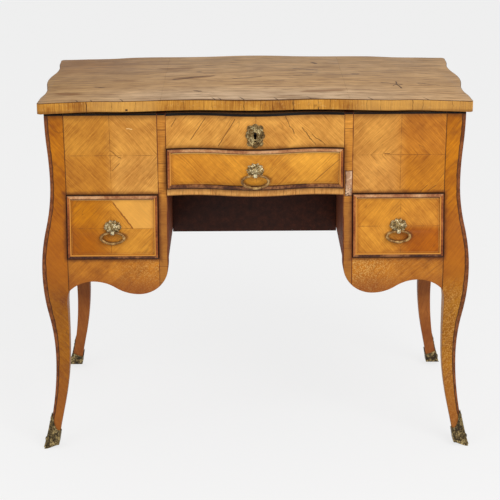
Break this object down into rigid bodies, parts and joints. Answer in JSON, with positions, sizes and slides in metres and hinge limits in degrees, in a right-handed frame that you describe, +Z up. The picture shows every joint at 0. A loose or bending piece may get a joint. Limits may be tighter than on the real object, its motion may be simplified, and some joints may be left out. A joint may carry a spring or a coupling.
{
  "type": "dressing table",
  "caption": "Kneehole dressing table on cabriole legs, with a scalloped lifting top over wells and a mirror, drawers with ring pulls, and brass shoes.",
  "frame": {"origin": "on the floor under the middle of the case", "axes": "+X to the right of a sitter facing the table, along its length; -Y the front with the drawers; +Z up"},
  "size_m": [0.914, 0.5121, 0.761],
  "materials": {
    "tulipwood_veneer": "French-polished honey-coloured veneer with fine cracks",
    "purplewood_bead": "dark reddish hardwood moulding, waxed",
    "oak_carcass": "unpolished carcass wood",
    "dark_stained_board": "dark stained board",
    "aged_brass": "aged cast and chased brass",
    "lock_iron": "dull iron",
    "mirror_plate": "silvered glass"
  },
  "bodies": {
    "case": {"leg_front_left": "tulipwood_veneer", "leg_front_right": "tulipwood_veneer", "leg_back_left": "tulipwood_veneer", "leg_back_right": "tulipwood_veneer", "sabot_front_left": "aged_brass", "sabot_front_right": "aged_brass", "sabot_back_left": "aged_brass", "sabot_back_right": "aged_brass", "partition_left": "tulipwood_veneer", "partition_right": "tulipwood_veneer", "front_panel_left": "tulipwood_veneer", "front_panel_right": "tulipwood_veneer", "apron_left": "tulipwood_veneer", "apron_right": "tulipwood_veneer", "side_panel_left": "tulipwood_veneer", "side_panel_right": "tulipwood_veneer", "well_floor_left": "oak_carcass", "well_floor_right": "oak_carcass", "pedestal_floor_left": "oak_carcass", "pedestal_floor_right": "oak_carcass", "back_panel": "oak_carcass", "frieze": "tulipwood_veneer", "drawer_rail": "tulipwood_veneer", "well_floor_centre": "oak_carcass", "kneehole_ceiling": "oak_carcass", "kneehole_back": "dark_stained_board", "drawer_runners": "oak_carcass", "lid_rail": "oak_carcass", "lock_case": "lock_iron", "escutcheon": "aged_brass", "lid_hinge_case_leaves": "aged_brass", "flap_hinge_case_leaves": "aged_brass"},
    "centre_lid": {"lid_board": "tulipwood_veneer", "lid_hinge_leaves": "aged_brass", "mirror_frame": "purplewood_bead", "mirror_glass": "mirror_plate", "lock_strike": "aged_brass"},
    "left_flap": {"flap_left": "tulipwood_veneer", "flap_left_hinge_leaves": "aged_brass"},
    "right_flap": {"flap_right": "tulipwood_veneer", "flap_right_hinge_leaves": "aged_brass"},
    "lock_bolt": {"lock_bolt": "lock_iron"},
    "centre_drawer": {"centre_drawer_front": "tulipwood_veneer", "centre_drawer_cockbead": "purplewood_bead", "centre_drawer_carcass": "oak_carcass", "centre_drawer_bottom": "oak_carcass", "centre_drawer_rosette": "aged_brass"},
    "centre_ring": {"centre_drawer_ring": "aged_brass"},
    "left_drawer": {"left_drawer_front": "tulipwood_veneer", "left_drawer_cockbead": "purplewood_bead", "left_drawer_carcass": "oak_carcass", "left_drawer_bottom": "oak_carcass", "left_drawer_rosette": "aged_brass"},
    "left_ring": {"left_drawer_ring": "aged_brass"},
    "right_drawer": {"right_drawer_front": "tulipwood_veneer", "right_drawer_cockbead": "purplewood_bead", "right_drawer_carcass": "oak_carcass", "right_drawer_bottom": "oak_carcass", "right_drawer_rosette": "aged_brass"},
    "right_ring": {"right_drawer_ring": "aged_brass"}
  },
  "joints": [
    {"name": "centre_lid_hinge", "type": "hinge", "parent": "case", "child": "centre_lid", "pos_m": [0, 0.2253, 0.7346], "axis": [-1, 0, 0], "range_deg": [0, 100]},
    {"name": "left_flap_hinge", "type": "hinge", "parent": "case", "child": "left_flap", "pos_m": [-0.4328, 0, 0.7288], "axis": [0, -1, 0], "range_deg": [0, 100]},
    {"name": "right_flap_hinge", "type": "hinge", "parent": "case", "child": "right_flap", "pos_m": [0.4328, 0, 0.7288], "axis": [0, 1, 0], "range_deg": [0, 100]},
    {"name": "lock_bolt_slide", "type": "slide", "parent": "case", "child": "lock_bolt", "axis": [0, 0, 1], "range_m": [0, 0.014]},
    {"name": "centre_drawer_slide", "type": "slide", "parent": "case", "child": "centre_drawer", "axis": [0, -1, 0], "range_m": [0, 0.28]},
    {"name": "left_drawer_slide", "type": "slide", "parent": "case", "child": "left_drawer", "axis": [0, -1, 0], "range_m": [0, 0.28]},
    {"name": "right_drawer_slide", "type": "slide", "parent": "case", "child": "right_drawer", "axis": [0, -1, 0], "range_m": [0, 0.28]},
    {"name": "centre_ring_swing", "type": "hinge", "parent": "centre_drawer", "child": "centre_ring", "pos_m": [0, -0.25149, 0.60255], "axis": [-1, 0, 0], "range_deg": [0, 100]},
    {"name": "left_ring_swing", "type": "hinge", "parent": "left_drawer", "child": "left_ring", "pos_m": [-0.29675, -0.24593, 0.4806], "axis": [-1, 0, 0], "range_deg": [0, 100]},
    {"name": "right_ring_swing", "type": "hinge", "parent": "right_drawer", "child": "right_ring", "pos_m": [0.29675, -0.24593, 0.4806], "axis": [-1, 0, 0], "range_deg": [0, 100]}
  ]
}
